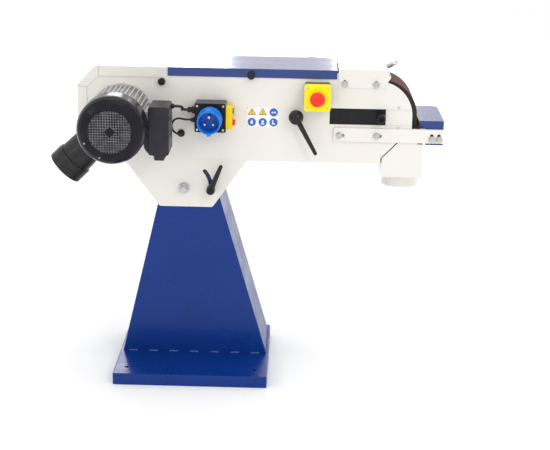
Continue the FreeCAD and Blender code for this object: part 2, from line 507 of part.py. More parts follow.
SLOPE = V(GUARD_END_LOW[0] - GUARD_END_TOP[0], 0, GUARD_END_LOW[1] - GUARD_END_TOP[1]).normalize()
SLOPE_OUT = V(-SLOPE.z, 0, SLOPE.x)


def sloped_plate(offset, thick, along0, along1, y0, y1):
    """A plate parallel to the guard's sloped end, its underside offset from it."""
    base = V(GUARD_END_TOP[0], 0, GUARD_END_TOP[1]) + SLOPE_OUT * offset
    corners = [base + SLOPE * along0, base + SLOPE * along1,
               base + SLOPE * along1 + SLOPE_OUT * thick, base + SLOPE * along0 + SLOPE_OUT * thick]
    return prism_y([(p.x, p.z) for p in corners], y0, y1)


def make_guard():
    y0 = YF - GAP - SKIN
    skirt = prism_y([(GUARD_X0, 799.5), (504.5, 799.5), GUARD_END_LOW, GUARD_END_TOP, (GUARD_X0, GUARD_TOP)],
                    y0, y0 + SKIN)
    for x, z in GUARD_BOLTS:
        skirt = skirt.cut(slot_y(x, z, BOLT_SLOT_HALF, 0, GUARD_TRAVEL + 1, y0 - 1, y0 + SKIN + 1))
    top = box(GUARD_X0, GUARD_END_TOP[0], y0, GUARD_Y1, GUARD_TOP - SKIN, GUARD_TOP)
    rear = prism_y([(GUARD_X0, 840), (517, 840), GUARD_END_TOP, (GUARD_X0, GUARD_TOP)],
                   GUARD_Y1 - SKIN, GUARD_Y1)
    end = sloped_plate(-SKIN, SKIN, 0, 24, y0, GUARD_Y1)
    centre = V(GUARD_END_TOP[0], DUCT_Y, GUARD_END_TOP[1]) + SLOPE * 9
    bore = Part.makeCylinder(3 + RUN, 20, centre - SLOPE_OUT * 10, SLOPE_OUT)
    save("belt_guard", one(skirt, top, rear, end).cut(bore))

    flap = sloped_plate(GAP, SKIN, 2, 23, y0 + 1, GUARD_Y1 - 1)
    reach = Part.makeCylinder(3.6, 20, centre - SLOPE_OUT * 10, SLOPE_OUT)
    room = reach.fuse(reach.translated(SLOPE * -6))
    bar = Part.makeBox(7.2, 6, 20, V(-3.6, -6, 0))
    bar.Placement = FreeCAD.Placement(centre - SLOPE_OUT * 10,
                                      FreeCAD.Rotation(V(0, 1, 0), SLOPE, SLOPE_OUT, "ZYX"))
    save("spark_flap", flap.cut(room.fuse(bar)))
    seat = centre + SLOPE_OUT * (SKIN + 2 * GAP)
    stem = Part.makeCylinder(3, 14, seat - SLOPE_OUT * 8, SLOPE_OUT)
    hub = Part.makeCylinder(6.5, 17, seat, SLOPE_OUT).fuse(stem)
    for side in (-1, 1):
        fan = (V(0, side, 0) * 0.75 + SLOPE_OUT * 0.66).normalize()
        wing = Part.makeCone(4.2, 6.4, 25, seat + SLOPE_OUT * 11, fan)
        slab = Part.makeCylinder(50, 3.4, seat - SLOPE * 1.7, SLOPE)
        hub = hub.fuse(wing.common(slab))
    save("wing_bolt", one(hub))


def make_dust_hood():
    front = prism_y([(507, HOOD_BOTTOM), (HOOD_X1, HOOD_BOTTOM), (HOOD_X1, 650), (602, 650), (602, 688),
                     (583, 688), (507, 608.8)], YF, YI - 1)
    rear = prism_y([(507, HOOD_BOTTOM), (HOOD_X1, HOOD_BOTTOM), (HOOD_X1, 650), (585, 650),
                    (507, 600)], 166, 168)
    floor = box(507, HOOD_X1, YF, 168, HOOD_BOTTOM, HOOD_BOTTOM + SKIN)
    right = box(HOOD_X1 - SKIN, HOOD_X1, YF, 168, HOOD_BOTTOM, 650)
    left = box(507, 507 + SKIN, YF, 168, HOOD_BOTTOM, 600)
    neck = box(503, 507 + SKIN, YI, 168, BOTTOM, BOTTOM + SHEET)
    pipe = cyl_z(OUTLET_X, DUCT_Y, OUTLET_R, OUTLET_Z, HOOD_BOTTOM + 1)
    hood = one(front, rear, floor, right, left, neck, pipe)
    bore = cyl_z(OUTLET_X, DUCT_Y, OUTLET_R - OUTLET_WALL, OUTLET_Z - 1, HOOD_BOTTOM + 5)
    save("dust_hood", hood.cut(bore))


# ---- motor ---------------------------------------------------------------------------------

def make_motor():
    x, z = DRIVE_X, AXIS_Z
    end_shield = cyl_y(x, z, 78, MOTOR_FACE, YF)
    core = cyl_y(x, z, FRAME_HALF - 7, FRAME_END, MOTOR_FACE)
    fins = []
    for k in range(40):
        fin = Part.makeBox(40, MOTOR_FACE - FRAME_END, 3.0, V(60, 0, -1.5))
        fin.rotate(V(0, 0, 0), V(0, 1, 0), 360.0 * k / 40)
        fin.translate(V(x, FRAME_END, z))
        fins.append(fin)
    envelope = rounded_box_y(x - FRAME_HALF, x + FRAME_HALF, FRAME_END, MOTOR_FACE,
                             z - FRAME_HALF, z + FRAME_HALF, 30)
    envelope = envelope.common(cyl_y(x, z, FRAME_R, FRAME_END, MOTOR_FACE))
    barrel = core.multiFuse(fins).common(envelope)
    seat = box(x + 55, TBOX_X0, TBOX_Y0 + 10, TBOX_Y1 - 5, 690, 754)
    frame = one(barrel, seat, end_shield)
    frame = frame.fuse(cyl_y(x, z, 85.2, FRAME_END, FRAME_END + 6))
    frame = frame.cut(cyl_y(x, z, 62, FRAME_END + 12, MOTOR_FACE - 12))
    frame = frame.cut(cyl_y(x, z, SHAFT_R + 1, FRAME_END - 1, YF + 1))
    for bx, bz in MOTOR_BOLTS:
        frame = frame.cut(cyl_y(bx, bz, BOLT_R, MOTOR_FACE + 1, YF + 1))
    save("motor_frame", one(frame))
    save("motor_stator", ring_y(x, z, 62, 43, -190, -72))
    rotor = cyl_y(x, z, 42, -182, -80)
    save("motor_shaft", one(cyl_y(x, z, SHAFT_R, -287, 90), rotor))
    blades = []
    for k in range(8):
        blade = Part.makeBox(40, 20, 2.5, V(24, 0, -1.25))
        blade.rotate(V(0, 0, 0), V(0, 1, 0), 45.0 * k)
        blade.translate(V(x, -270, z))
        blades.append(blade)
    fan = ring_y(x, z, 26, SHAFT_R, -270, -240).multiFuse(blades)
    save("cooling_fan", one(fan.cut(cyl_y(x, z, SHAFT_R, -300, -230))))
    make_fan_cover()
    make_terminal_box()


def make_fan_cover():
    x, z, f, r = DRIVE_X, AXIS_Z, COVER_FACE, COVER_R
    outer = revolve_y([(0, f + 2), (56, f + 2), (58, f), (64, f), (74, f + 4), (82, f + 12), (r - 1, f + 24),
                       (r, f + 34), (r, RIM_Y), (0, RIM_Y)], x, z)
    inner = revolve_y([(0, f + 5), (62, f + 5), (73, f + 8), (80, f + 15), (85.4, f + 27), (85.4, RIM_Y + 1),
                       (0, RIM_Y + 1)], x, z)
    cover = outer.cut(inner)
    pitch, half = 6.6, 1.9
    holes = []
    for i in range(-8, 9):
        for j in range(-8, 9):
            if 14 < pitch * math.hypot(i, j) < 53:
                holes.append(box(x + i * pitch - half, x + i * pitch + half, f - 1, f + 8,
                                 z + j * pitch - half, z + j * pitch + half))
    save("fan_cover", cover.cut(Part.makeCompound(holes)))


def make_terminal_box():
    body = rounded_box_y(TBOX_X0, TBOX_X1, TBOX_Y0, TBOX_Y1, TBOX_Z0, TBOX_Z1, 7)
    foot = prism_y([(-96, 652), (-92, 627), (-68, 627), (-55, 650)], TBOX_Y0 + 2, TBOX_Y1 - 2)
    drum = cyl_y(-87, 671, 33, TBOX_Y0 + 3, TBOX_Y1 - 2)
    body = soften_front(body, TBOX_Y0, 2.5)
    keep_out = cyl_y(DRIVE_X, AXIS_Z, FRAME_R + GAP, FRAME_END - 1, YF)
    seat = box(DRIVE_X + 55, TBOX_X0, TBOX_Y0 + 10, TBOX_Y1 - 5, 690, 754)
    body = one(body, foot, drum).cut(keep_out).cut(seat)
    save("terminal_box", max(body.Solids, key=lambda solid: solid.Volume))


# ---- switchgear and leads ------------------------------------------------------------------

def make_switch_box():
    body = rounded_box_y(SWITCH_X0, SWITCH_X1, SWITCH_Y0, YF, SWITCH_Z0, SWITCH_Z1, 4)
    body = soften_front(body, SWITCH_Y0, 1.5)
    body = body.cut(box(SWITCH_X0 + 3, SWITCH_X1 - 3, SWITCH_Y0 + 4, YF - 3, SWITCH_Z0 + 3, SWITCH_Z1 - 3))
    body = body.cut(cyl_y(INLET_X, INLET_Z, 24, SWITCH_Y0 - 1, SWITCH_Y0 + 5))
    save("switch_box", body)
    y, tip = SWITCH_Y0, SWITCH_Y0 - INLET_LENGTH
    shroud = revolve_y([(0, y + 4), (0, y - 8), (26, y - 8), (27.5, tip), (31, tip), (31.5, tip + 4),
                        (29.5, tip + 6), (30.5, y - 18), (INLET_R, y - 14), (INLET_R, y), (24, y),
                         (24, y + 4)],
                       INLET_X, INLET_Z)
    key = box(INLET_X - 5, INLET_X + 5, tip, y - 4, INLET_Z - 35.5, INLET_Z - 29.5)
    latch = box(INLET_X - 7, INLET_X + 7, tip, y - 4, INLET_Z + 29.5, INLET_Z + 34)
    sockets = []
    for a, r in ((90, 3.4), (210, 2.6), (330, 2.6)):
        px = INLET_X + 13 * math.cos(math.radians(a))
        pz = INLET_Z + 13 * math.sin(math.radians(a))
        sockets.append(cyl_y(px, pz, r, y - 44, y - 8))
    save("mains_inlet", one(shroud, key, latch))
    save("mains_inlet_pins", *sockets)

    x0, x1 = SWITCH_X1, PLATE_X1
    plate = box(x0, x1, -84, -42, 691, 752)
    plate = plate.makeFillet(4, edges_along(plate, V(1, 0, 0)))
    for z in (START_Z, STOP_Z):
        plate = plate.cut(cyl_x(BUTTON_Y, z, BUTTON_R + GAP, x0 + 5, x1 + 1))
    save("switch_plate", plate)
    for name, z, proud in (("start_button", START_Z, 4.0), ("stop_button", STOP_Z, 7.0)):
        button = cyl_x(BUTTON_Y, z, BUTTON_R, x0 + 9, x1 + proud)
        rim = [e for e in button.Edges if e.Closed and abs(e.BoundBox.XMin - x1 - proud) < 0.1]
        save(name, button.makeFillet(1.2, rim))


def make_estop():
    x, z, h = ESTOP_X, ESTOP_Z, ESTOP_HALF
    top = YF - ESTOP_DEPTH
    seam = top + ESTOP_LID
    base = rounded_box_y(x - h + 0.6, x + h - 0.6, seam, YF, z - h + 0.6, z + h - 0.6, 5)
    save("estop_base", base)
    cover = soften_front(rounded_box_y(x - h, x + h, top, seam, z - h, z + h, 6), top, 2.0)
    collar = cyl_y(x, z, 15, top - 3, top)
    bore = cyl_y(x, z, 11 + GAP, top - 4, top + 16)
    save("estop_cover", one(cover, collar).cut(bore))
    save("estop_button", revolve_y([(0, top - 27), (8, top - 26.6), (14, top - 25), (18, top - 21.5),
                                    (20, top - 17), (19.5, top - 13), (17.5, top - 10), (11, top - 9),
                                    (11, top + 9), (0, top + 9)], x, z))


def rounded_path(points):
    """Straight runs joined by tangent arcs, each as large as its two runs allow."""
    knots = [V(*p) for p in points]
    edges, start, radii = [], knots[0], []
    for a, b, c in zip(knots, knots[1:], knots[2:]):
        back, ahead = (a - b).normalize(), (c - b).normalize()
        half = math.acos(back.dot(ahead)) / 2
        cut = 0.45 * min((a - b).Length, (c - b).Length)
        radius = cut * math.tan(half)
        radii.append(round(radius, 1))
        leave, meet = b + back * cut, b + ahead * cut
        mid = b + (back + ahead).normalize() * (radius / math.sin(half) - radius)
        edges += [Part.LineSegment(start, leave).toShape(), Part.Arc(leave, mid, meet).toShape()]
        start = meet
    edges.append(Part.LineSegment(start, knots[-1]).toShape())
    return Part.Wire(edges), radii


def make_lead(name, points, diameter):
    path, radii = rounded_path(points)
    heading = V(*points[1]) - V(*points[0])
    section = Part.Wire(Part.makeCircle(diameter / 2, V(*points[0]), heading))
    tube = path.makePipeShell([section], True, False)
    ideal = math.pi * diameter ** 2 / 4 * path.Length
    ratio = round(tube.Volume / ideal, 4)
    print(name, "radii", radii, "length", round(path.Length, 1), "volume ratio", ratio)
    save(name, tube)


def make_leads():
    make_lead("motor_lead", MOTOR_LEAD, MOTOR_LEAD_D)
    make_lead("control_lead", CONTROL_LEAD, CONTROL_LEAD_D)
    x0 = SWITCH_X0
    upper = one(cyl_x(-60, 737, 10, x0 - 8, x0), cyl_x(-60, 737, 7.5, x0 - 20, x0 - 8))
    lower = one(cyl_x(-60, 710, 7, x0 - 7, x0), cyl_x(-60, 710, 5.5, x0 - 12, x0 - 7))
    outlet = cyl_x(-115, 757, 6.5, TBOX_X1, TBOX_X1 + 7)
    grommet = one(cyl_y(-36, 667, 10, -37, YF), Part.makeCone(5, 7.5, 4, V(-36, -41, 667), V(0, 1, 0)))
    save("cable_glands", upper, lower, outlet, grommet)
    save("warning_plate", box(139.5, 227.5, YF - 0.8, YF, 688, 743))


def make_fasteners():
    bolts = [hex_bolt(x, z, ARM_Y0 - GAP, ARM_T + 2 * GAP + SHEET + 6) for x, z in ARM_BOLTS]
    bolts += [hex_bolt(x, z, YF - SKIN - 2 * GAP, SKIN + SHEET + 7) for x, z in GUARD_BOLTS]
    bolts += [one(hex_y(x, z, 13, YI, YI + 5.3), cyl_y(x, z, BOLT_R, MOTOR_FACE + 1, YI))
              for x, z in MOTOR_BOLTS]
    bolts += [one(cyl_y(x, z, 4.2, YF - 0.2, YF), cyl_y(x, z, 2.5, YF, YI + SKIN)) for x, z in SLOT_SCREWS]
    inset = 7.0
    for x in (SWITCH_X0 + inset, SWITCH_X1 - inset):
        bolts += [cyl_y(x, z, 3, SWITCH_Y0 - 1.5, SWITCH_Y0) for z in (SWITCH_Z0 + inset, SWITCH_Z1 - inset)]
    top, reach = YF - ESTOP_DEPTH, ESTOP_HALF - 8
    for sx in (-1, 1):
        bolts += [cyl_y(ESTOP_X + sx * reach, ESTOP_Z + sz * reach, 2.6, top - 1.2, top) for sz in (-1, 1)]
    save("head_fasteners", *bolts)


def main():
    os.makedirs("parts", exist_ok=True)
    make_stand()
    make_tilt_pivot()
    make_tilt_plates()
    make_front_plate()
    make_inner_frame()
    make_end_cover()
    make_lid()
    make_door()
    make_hinges()
    make_wheels()
    make_tensioner()
    make_platen()
    make_table()
    make_guard()
    make_dust_hood()
    make_motor()
    make_switch_box()
    make_estop()
    make_leads()
    make_fasteners()


main()
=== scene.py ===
import bmesh
import bpy
import json
import math
import random
from mathutils import Matrix, Vector


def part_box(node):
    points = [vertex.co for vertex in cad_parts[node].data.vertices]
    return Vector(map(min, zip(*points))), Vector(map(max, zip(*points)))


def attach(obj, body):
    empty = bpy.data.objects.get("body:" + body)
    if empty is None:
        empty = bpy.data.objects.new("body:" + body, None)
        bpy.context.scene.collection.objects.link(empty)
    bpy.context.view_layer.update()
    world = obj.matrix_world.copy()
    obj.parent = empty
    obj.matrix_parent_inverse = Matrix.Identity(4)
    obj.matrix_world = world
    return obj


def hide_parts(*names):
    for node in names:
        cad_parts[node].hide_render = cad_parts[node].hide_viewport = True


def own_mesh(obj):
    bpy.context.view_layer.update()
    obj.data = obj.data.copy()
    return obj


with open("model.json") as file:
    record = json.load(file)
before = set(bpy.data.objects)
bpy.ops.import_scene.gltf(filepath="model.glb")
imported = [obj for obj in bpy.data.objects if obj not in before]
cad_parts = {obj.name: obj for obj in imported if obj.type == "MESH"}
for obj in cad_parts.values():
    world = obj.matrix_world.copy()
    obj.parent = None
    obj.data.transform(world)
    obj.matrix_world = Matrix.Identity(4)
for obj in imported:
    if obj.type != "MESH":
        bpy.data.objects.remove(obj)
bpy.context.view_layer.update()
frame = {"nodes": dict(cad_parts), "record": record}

random.seed(7)

MM = 0.001
SIGN_LOW, SIGN_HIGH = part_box("warning_plate")
COVER_LOW, COVER_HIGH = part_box("fan_cover")
MOTOR_X = (COVER_LOW[0] + COVER_HIGH[0]) / 2
MOTOR_Z = (COVER_LOW[2] + COVER_HIGH[2]) / 2

COAT_ROUGHNESS = 0.06
BEVEL_SAMPLES = 4
GRAIN_DEPTH = 0.4 * MM
GRIT_DEPTH = 0.5 * MM
SHARP_EDGE, FLAT_FACE = 0.80, 0.99      # agreement of the rounded normal with the true one
MIX_FIRST, MIX_SECOND, MIX_RESULT = 6, 7, 2     # the colour sockets of a Mix node
CREASE = math.radians(35)
CIRCLE_STEPS = 40


# ---- materials -----------------------------------------------------------------------------

class Finish:
    """A Principled material whose colour, roughness and relief all come from procedural nodes."""

    def __init__(self, name, rough, metal=0.0, coat=0.0, specular=0.5):
        self.material = bpy.data.materials.new(name)
        self.material.use_nodes = True
        self.tree = self.material.node_tree
        self.shader = self.tree.nodes["Principled BSDF"]
        self.shader.inputs["Metallic"].default_value = metal
        self.shader.inputs["Coat Weight"].default_value = coat
        self.shader.inputs["Coat Roughness"].default_value = COAT_ROUGHNESS
        self.shader.inputs["Specular IOR Level"].default_value = specular
        self.rough = rough
        self.coord = self.node("ShaderNodeTexCoord")

    def node(self, kind):
        return self.tree.nodes.new(kind)

    def link(self, source, target):
        self.tree.links.new(source, target)

    def noise(self, scale, detail=3.0, stretch=(1, 1, 1)):
        mapping = self.node("ShaderNodeMapping")
        mapping.inputs["Scale"].default_value = stretch
        self.link(self.coord.outputs["Object"], mapping.inputs["Vector"])
        texture = self.node("ShaderNodeTexNoise")
        texture.inputs["Scale"].default_value = scale
        texture.inputs["Detail"].default_value = detail
        self.link(mapping.outputs["Vector"], texture.inputs["Vector"])
        return texture.outputs[0]

    def span(self, value, low, high, start=0.3, end=0.7):
        """Maps start..end of a value onto low..high."""
        mapped = self.node("ShaderNodeMapRange")
        mapped.inputs["From Min"].default_value = start
        mapped.inputs["From Max"].default_value = end
        mapped.inputs["To Min"].default_value = low
        mapped.inputs["To Max"].default_value = high
        self.link(value, mapped.inputs["Value"])
        return mapped.outputs["Result"]

    def mix(self, factor, first, second):
        """Blends two colours, each a tuple or another node's output."""
        blend = self.node("ShaderNodeMix")
        blend.data_type = "RGBA"
        self.link(factor, blend.inputs["Factor"])
        for index, value in ((MIX_FIRST, first), (MIX_SECOND, second)):
            if isinstance(value, tuple):
                blend.inputs[index].default_value = (*value, 1.0)
            else:
                self.link(value, blend.inputs[index])
        return blend.outputs[MIX_RESULT]

    def edge_mask(self, rounded):
        """1 on sharp edges, 0 on flats: where the rounded normal leaves the true one."""
        geometry = self.node("ShaderNodeNewGeometry")
        dot = self.node("ShaderNodeVectorMath")
        dot.operation = "DOT_PRODUCT"
        self.link(rounded, dot.inputs[0])
        self.link(geometry.outputs["Normal"], dot.inputs[1])
        return self.span(dot.outputs["Value"], 1.0, 0.0, SHARP_EDGE, FLAT_FACE)

    def worn_edges(self, shade, edge, rounded):
        """The edge colour shows in chips along the sharp edges."""
        wear = self.node("ShaderNodeMath")
        wear.operation = "MULTIPLY"
        chips = self.span(self.noise(120.0, detail=5.0), 0.0, 0.75, start=0.42, end=0.68)
        self.link(self.edge_mask(rounded), wear.inputs[0])
        self.link(chips, wear.inputs[1])
        return self.mix(wear.outputs["Value"], shade, edge)

    def dusted(self, shade, dust, scale):
        """A thin veil of dust in patches."""
        veil = self.span(self.noise(scale, detail=6.0), 0.0, 0.22, start=0.5, end=0.75)
        return self.mix(veil, shade, dust)

    def add_relief(self, height, strength, depth):
        bump = self.node("ShaderNodeBump")
        bump.inputs["Strength"].default_value = strength
        bump.inputs["Distance"].default_value = depth
        self.link(height, bump.inputs["Height"])
        self.link(bump.outputs["Normal"], self.shader.inputs["Normal"])
        return bump

    def build(self, colour, vary, patch, grain, relief, rough_vary=0.07,
              edge=None, radius=0.9, stretch=(1, 1, 1), dust=None):
        """Patches of lighter and darker colour, a fine grain, and edges rounded by radius in mm."""
        dark = tuple(c * (1 - vary) for c in colour)
        light = tuple(min(1.0, c * (1 + vary)) for c in colour)
        shade = self.mix(self.span(self.noise(patch), 0.0, 1.0), dark, light)
        if dust:
            shade = self.dusted(shade, dust, patch * 9)
        bevel = self.node("ShaderNodeBevel")
        bevel.samples = BEVEL_SAMPLES
        bevel.inputs["Radius"].default_value = radius * MM
        if edge:
            shade = self.worn_edges(shade, edge, bevel.outputs["Normal"])
        self.link(shade, self.shader.inputs["Base Color"])
        smears = self.noise(patch * 4, 4.0, stretch)
        roughness = self.span(smears, max(0.02, self.rough - rough_vary), self.rough + rough_vary)
        self.link(roughness, self.shader.inputs["Roughness"])
        bump = self.add_relief(self.noise(grain, 2.0, stretch), relief, GRAIN_DEPTH)
        self.link(bevel.outputs["Normal"], bump.inputs["Normal"])
        return self.material


BLUE = (0.001, 0.030, 0.205)
CREAM = (0.80, 0.775, 0.725)
MATERIALS = {
    "stand_paint": Finish("stand_enamel", rough=0.30, coat=0.10, specular=0.22).build(
        BLUE, vary=0.10, patch=5.0, grain=420.0, relief=0.05, edge=(0.03, 0.08, 0.30), radius=1.6),
    # painted highlight: the weld's blue is lighter than the stand's and its edge chips are pale, in place
    # of glints on the ripples
    "weld": Finish("weld_enamel_painted_highlight", rough=0.34, coat=0.3).build(
        (0.02, 0.07, 0.30), vary=0.2, patch=60.0, grain=420.0, relief=0.05, edge=(0.30, 0.38, 0.62),
        radius=0.8),
    "table_paint": Finish("table_enamel", rough=0.26, coat=0.5, specular=0.4).build(
        BLUE, vary=0.10, patch=12.0, grain=500.0, relief=0.06, edge=(0.06, 0.12, 0.34)),
    "lid_paint": Finish("lid_enamel", rough=0.16, coat=0.5, specular=0.5).build(
        BLUE, vary=0.06, patch=5.0, grain=380.0, relief=0.03, edge=(0.03, 0.08, 0.30)),
    "head_paint": Finish("cream_enamel", rough=0.38, coat=0.25).build(
        CREAM, vary=0.025, patch=4.0, grain=520.0, relief=0.07, edge=(0.90, 0.89, 0.86), radius=1.0),
    "zinc": Finish("zinc_plate", rough=0.30, metal=1.0).build(
        (0.55, 0.55, 0.535), vary=0.16, patch=160.0, grain=1500.0, relief=0.05, rough_vary=0.12,
        edge=(0.85, 0.85, 0.83), radius=0.5),
    "slide_steel": Finish("blackened_steel", rough=0.36, metal=0.2, specular=0.25).build(
        (0.012, 0.012, 0.014), vary=0.2, patch=60.0, grain=900.0, relief=0.10, rough_vary=0.1,
        edge=(0.2, 0.2, 0.2), stretch=(0.05, 1, 1)),
    "bearing_steel": Finish("ground_steel", rough=0.16, metal=1.0).build(
        (0.62, 0.62, 0.62), vary=0.08, patch=90.0, grain=1500.0, relief=0.03, rough_vary=0.06,
        stretch=(1, 0.05, 1)),
    "stator_iron": Finish("laminated_iron", rough=0.55, metal=0.7).build(
        (0.20, 0.18, 0.16), vary=0.2, patch=90.0, grain=1500.0, relief=0.2, rough_vary=0.1,
        stretch=(0.05, 1, 0.05)),
    "lever_plastic": Finish("black_grip_plastic", rough=0.34, specular=0.32).build(
        (0.012, 0.012, 0.013), vary=0.2, patch=60.0, grain=1400.0, relief=0.12, rough_vary=0.08,
        edge=(0.05, 0.05, 0.052), radius=0.8),
    "port_plastic": Finish("duct_plastic", rough=0.38, specular=0.35).build(
        (0.014, 0.014, 0.015), vary=0.25, patch=25.0, grain=900.0, relief=0.12, rough_vary=0.10,
        edge=(0.06, 0.06, 0.06), dust=(0.05, 0.05, 0.048)),
    "motor_alloy": Finish("motor_grey", rough=0.40, metal=0.25).build(
        (0.56, 0.545, 0.535), vary=0.08, patch=40.0, grain=800.0, relief=0.14, rough_vary=0.10,
        edge=(0.72, 0.71, 0.70), radius=0.6),
    "cover_black": Finish("satin_black", rough=0.20, coat=0.05, specular=0.14).build(
        (0.010, 0.010, 0.014), vary=0.2, patch=30.0, grain=1100.0, relief=0.05, rough_vary=0.06,
        edge=(0.03, 0.03, 0.032), radius=1.2, dust=(0.02, 0.02, 0.02)),
    "terminal_box": Finish("box_blue_grey", rough=0.36, specular=0.30).build(
        (0.020, 0.020, 0.029), vary=0.2, patch=30.0, grain=1100.0, relief=0.10, rough_vary=0.07,
        edge=(0.06, 0.06, 0.075), radius=1.2),
    # painted highlight: pale grey crests on the black grille bars in place of their sheen
    "grille_crest_painted_highlight": Finish("grille_crest_painted_highlight", rough=0.30, specular=0.4).build(
        (0.34, 0.34, 0.35), vary=0.3, patch=60.0, grain=1100.0, relief=0.05, rough_vary=0.06),
    "wheel_alloy": Finish("turned_alloy", rough=0.30, metal=1.0).build(
        (0.60, 0.60, 0.60), vary=0.08, patch=60.0, grain=1400.0, relief=0.06, rough_vary=0.08,
        stretch=(1, 0.1, 1)),
    "wheel_rubber": Finish("ribbed_rubber", rough=0.70).build(
        (0.022, 0.021, 0.021), vary=0.25, patch=60.0, grain=1200.0, relief=0.25, rough_vary=0.08,
        dust=(0.06, 0.05, 0.045)),
    "graphite": Finish("graphite_canvas", rough=0.50, metal=0.2).build(
        (0.05, 0.05, 0.054), vary=0.2, patch=90.0, grain=1800.0, relief=0.3, rough_vary=0.08,
        stretch=(1, 1, 0.2)),
    "platen_steel": Finish("platen_steel", rough=0.26, metal=1.0).build(
        (0.50, 0.50, 0.50), vary=0.1, patch=60.0, grain=1400.0, relief=0.05, rough_vary=0.08,
        stretch=(0.05, 1, 1)),
    "inlet_blue": Finish("inlet_blue", rough=0.30, specular=0.35).build(
        (0.0, 0.19, 0.74), vary=0.06, patch=60.0, grain=1200.0, relief=0.06, rough_vary=0.05,
        edge=(0.10, 0.34, 0.85), radius=0.8),
    "pin_brass": Finish("contact_pins", rough=0.22, metal=1.0).build(
        (0.72, 0.62, 0.42), vary=0.1, patch=200.0, grain=2000.0, relief=0.03, rough_vary=0.06),
    "switch_yellow": Finish("switch_amber", rough=0.34, specular=0.3).build(
        (0.96, 0.63, 0.005), vary=0.05, patch=60.0, grain=1200.0, relief=0.06, rough_vary=0.05,
        edge=(1.0, 0.72, 0.2), radius=0.8),
    "estop_yellow": Finish("estop_yellow", rough=0.34, specular=0.25).build(
        (0.98, 0.84, 0.0), vary=0.04, patch=50.0, grain=1200.0, relief=0.06, rough_vary=0.05,
        edge=(1.0, 0.88, 0.25), radius=0.8),
    "estop_base": Finish("grey_plastic", rough=0.45).build(
        (0.035, 0.035, 0.037), vary=0.15, patch=60.0, grain=1200.0, relief=0.12, rough_vary=0.08),
    "estop_red": Finish("button_red", rough=0.30, specular=0.3).build(
        (0.88, 0.038, 0.018), vary=0.06, patch=90.0, grain=1200.0, relief=0.04, rough_vary=0.05,
        edge=(0.9, 0.12, 0.06), radius=0.8),
    "start_green": Finish("button_green", rough=0.30, coat=0.3).build(
        (0.02, 0.30, 0.06), vary=0.06, patch=90.0, grain=1200.0, relief=0.04, rough_vary=0.05),
    "lead_rubber": Finish("lead_sheath", rough=0.48).build(
        (0.014, 0.014, 0.015), vary=0.2, patch=120.0, grain=1600.0, relief=0.12, rough_vary=0.08),
    "warning_print": Finish("sign_white", rough=0.34, coat=0.3).build(
        (0.86, 0.86, 0.85), vary=0.02, patch=30.0, grain=900.0, relief=0.02, rough_vary=0.04),
}


def make_abrasive():
    """Reddish brown grit: dark gaps between light grains, worn in bands along the belt."""
    light, dark, worn = (0.20, 0.050, 0.030), (0.07, 0.020, 0.014), (0.28, 0.12, 0.08)
    grit = Finish("abrasive_grit", rough=0.78)
    grains = grit.node("ShaderNodeTexVoronoi")
    grains.inputs["Scale"].default_value = 1300.0
    grit.link(grit.coord.outputs["Object"], grains.inputs["Vector"])
    base = grit.mix(grit.span(grains.outputs["Distance"], 0.0, 1.0, start=0.1, end=0.7), light, dark)
    bands = grit.noise(30.0, detail=4.0, stretch=(0.2, 3, 0.2))
    shade = grit.mix(grit.span(bands, 0.0, 0.45, start=0.5, end=0.8), base, worn)
    grit.link(shade, grit.shader.inputs["Base Color"])
    grit.link(grit.span(grit.noise(220.0), 0.66, 0.88), grit.shader.inputs["Roughness"])
    grit.add_relief(grains.outputs["Distance"], 0.8, GRIT_DEPTH)
    return grit.material


MATERIALS["abrasive"] = make_abrasive()
INK = {
    "black": Finish("print_black", rough=0.4).build(
        (0.012, 0.012, 0.012), vary=0.1, patch=60.0, grain=900.0, relief=0.02),
    "yellow": Finish("print_yellow", rough=0.36, coat=0.3).build(
        (0.93, 0.62, 0.0), vary=0.03, patch=60.0, grain=900.0, relief=0.02),
    "blue": Finish("print_blue", rough=0.36, coat=0.3).build(
        (0.0, 0.12, 0.50), vary=0.03, patch=60.0, grain=900.0, relief=0.02),
}

def dress_frame():
    """Every CAD node gets its own material, or else its slot's."""
    for part in frame["record"]["subparts"]:
        for slot in frame["nodes"][part["node"]].material_slots:
            slot.material = MATERIALS.get(part["node"], MATERIALS[part["material_slot"]])


# ---- pieces --------------------------------------------------------------------------------

def piece(name, mesh_builder, body, material, smooth=True):
    mesh = bpy.data.meshes.new(name)
    work = bmesh.new()
    mesh_builder(work)
    bmesh.ops.recalc_face_normals(work, faces=work.faces)
    work.to_mesh(mesh)
    work.free()
    obj = bpy.data.objects.new(name, mesh)
    bpy.context.scene.collection.objects.link(obj)
    mesh.materials.append(material)
    if smooth:
        for polygon in mesh.polygons:
            polygon.use_smooth = True
        mesh.set_sharp_from_angle(angle=CREASE)
    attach(obj, body)
    return obj


def add_prism(work, outline, y_front, y_back):
    """An outline of (x, z) points between two planes across Y."""
    front = [work.verts.new((x, y_front, z)) for x, z in outline]
    back = [work.verts.new((x, y_back, z)) for x, z in outline]
    work.faces.new(front)
    work.faces.new(list(reversed(back)))
    count = len(outline)
    for i in range(count):
        j = (i + 1) % count
        work.faces.new((front[j], front[i], back[i], back[j]))


def bridge(work, rings):
    """Quads between each closed ring of vertices and the next."""
    for first, second in zip(rings, rings[1:]):
        count = len(first)
        for i in range(count):
            j = (i + 1) % count
            work.faces.new((first[i], first[j], second[j], second[i]))


def circle(x, z, r, steps=CIRCLE_STEPS):
    turns = [2 * math.pi * k / steps for k in range(steps)]
    return [(x + r * math.cos(turn), z + r * math.sin(turn)) for turn in turns]


def circle_ring(work, x, z, r, y, steps):
    """Vertices of a circle that faces along Y."""
    return [work.verts.new((px, y, pz)) for px, pz in circle(x, z, r, steps)]


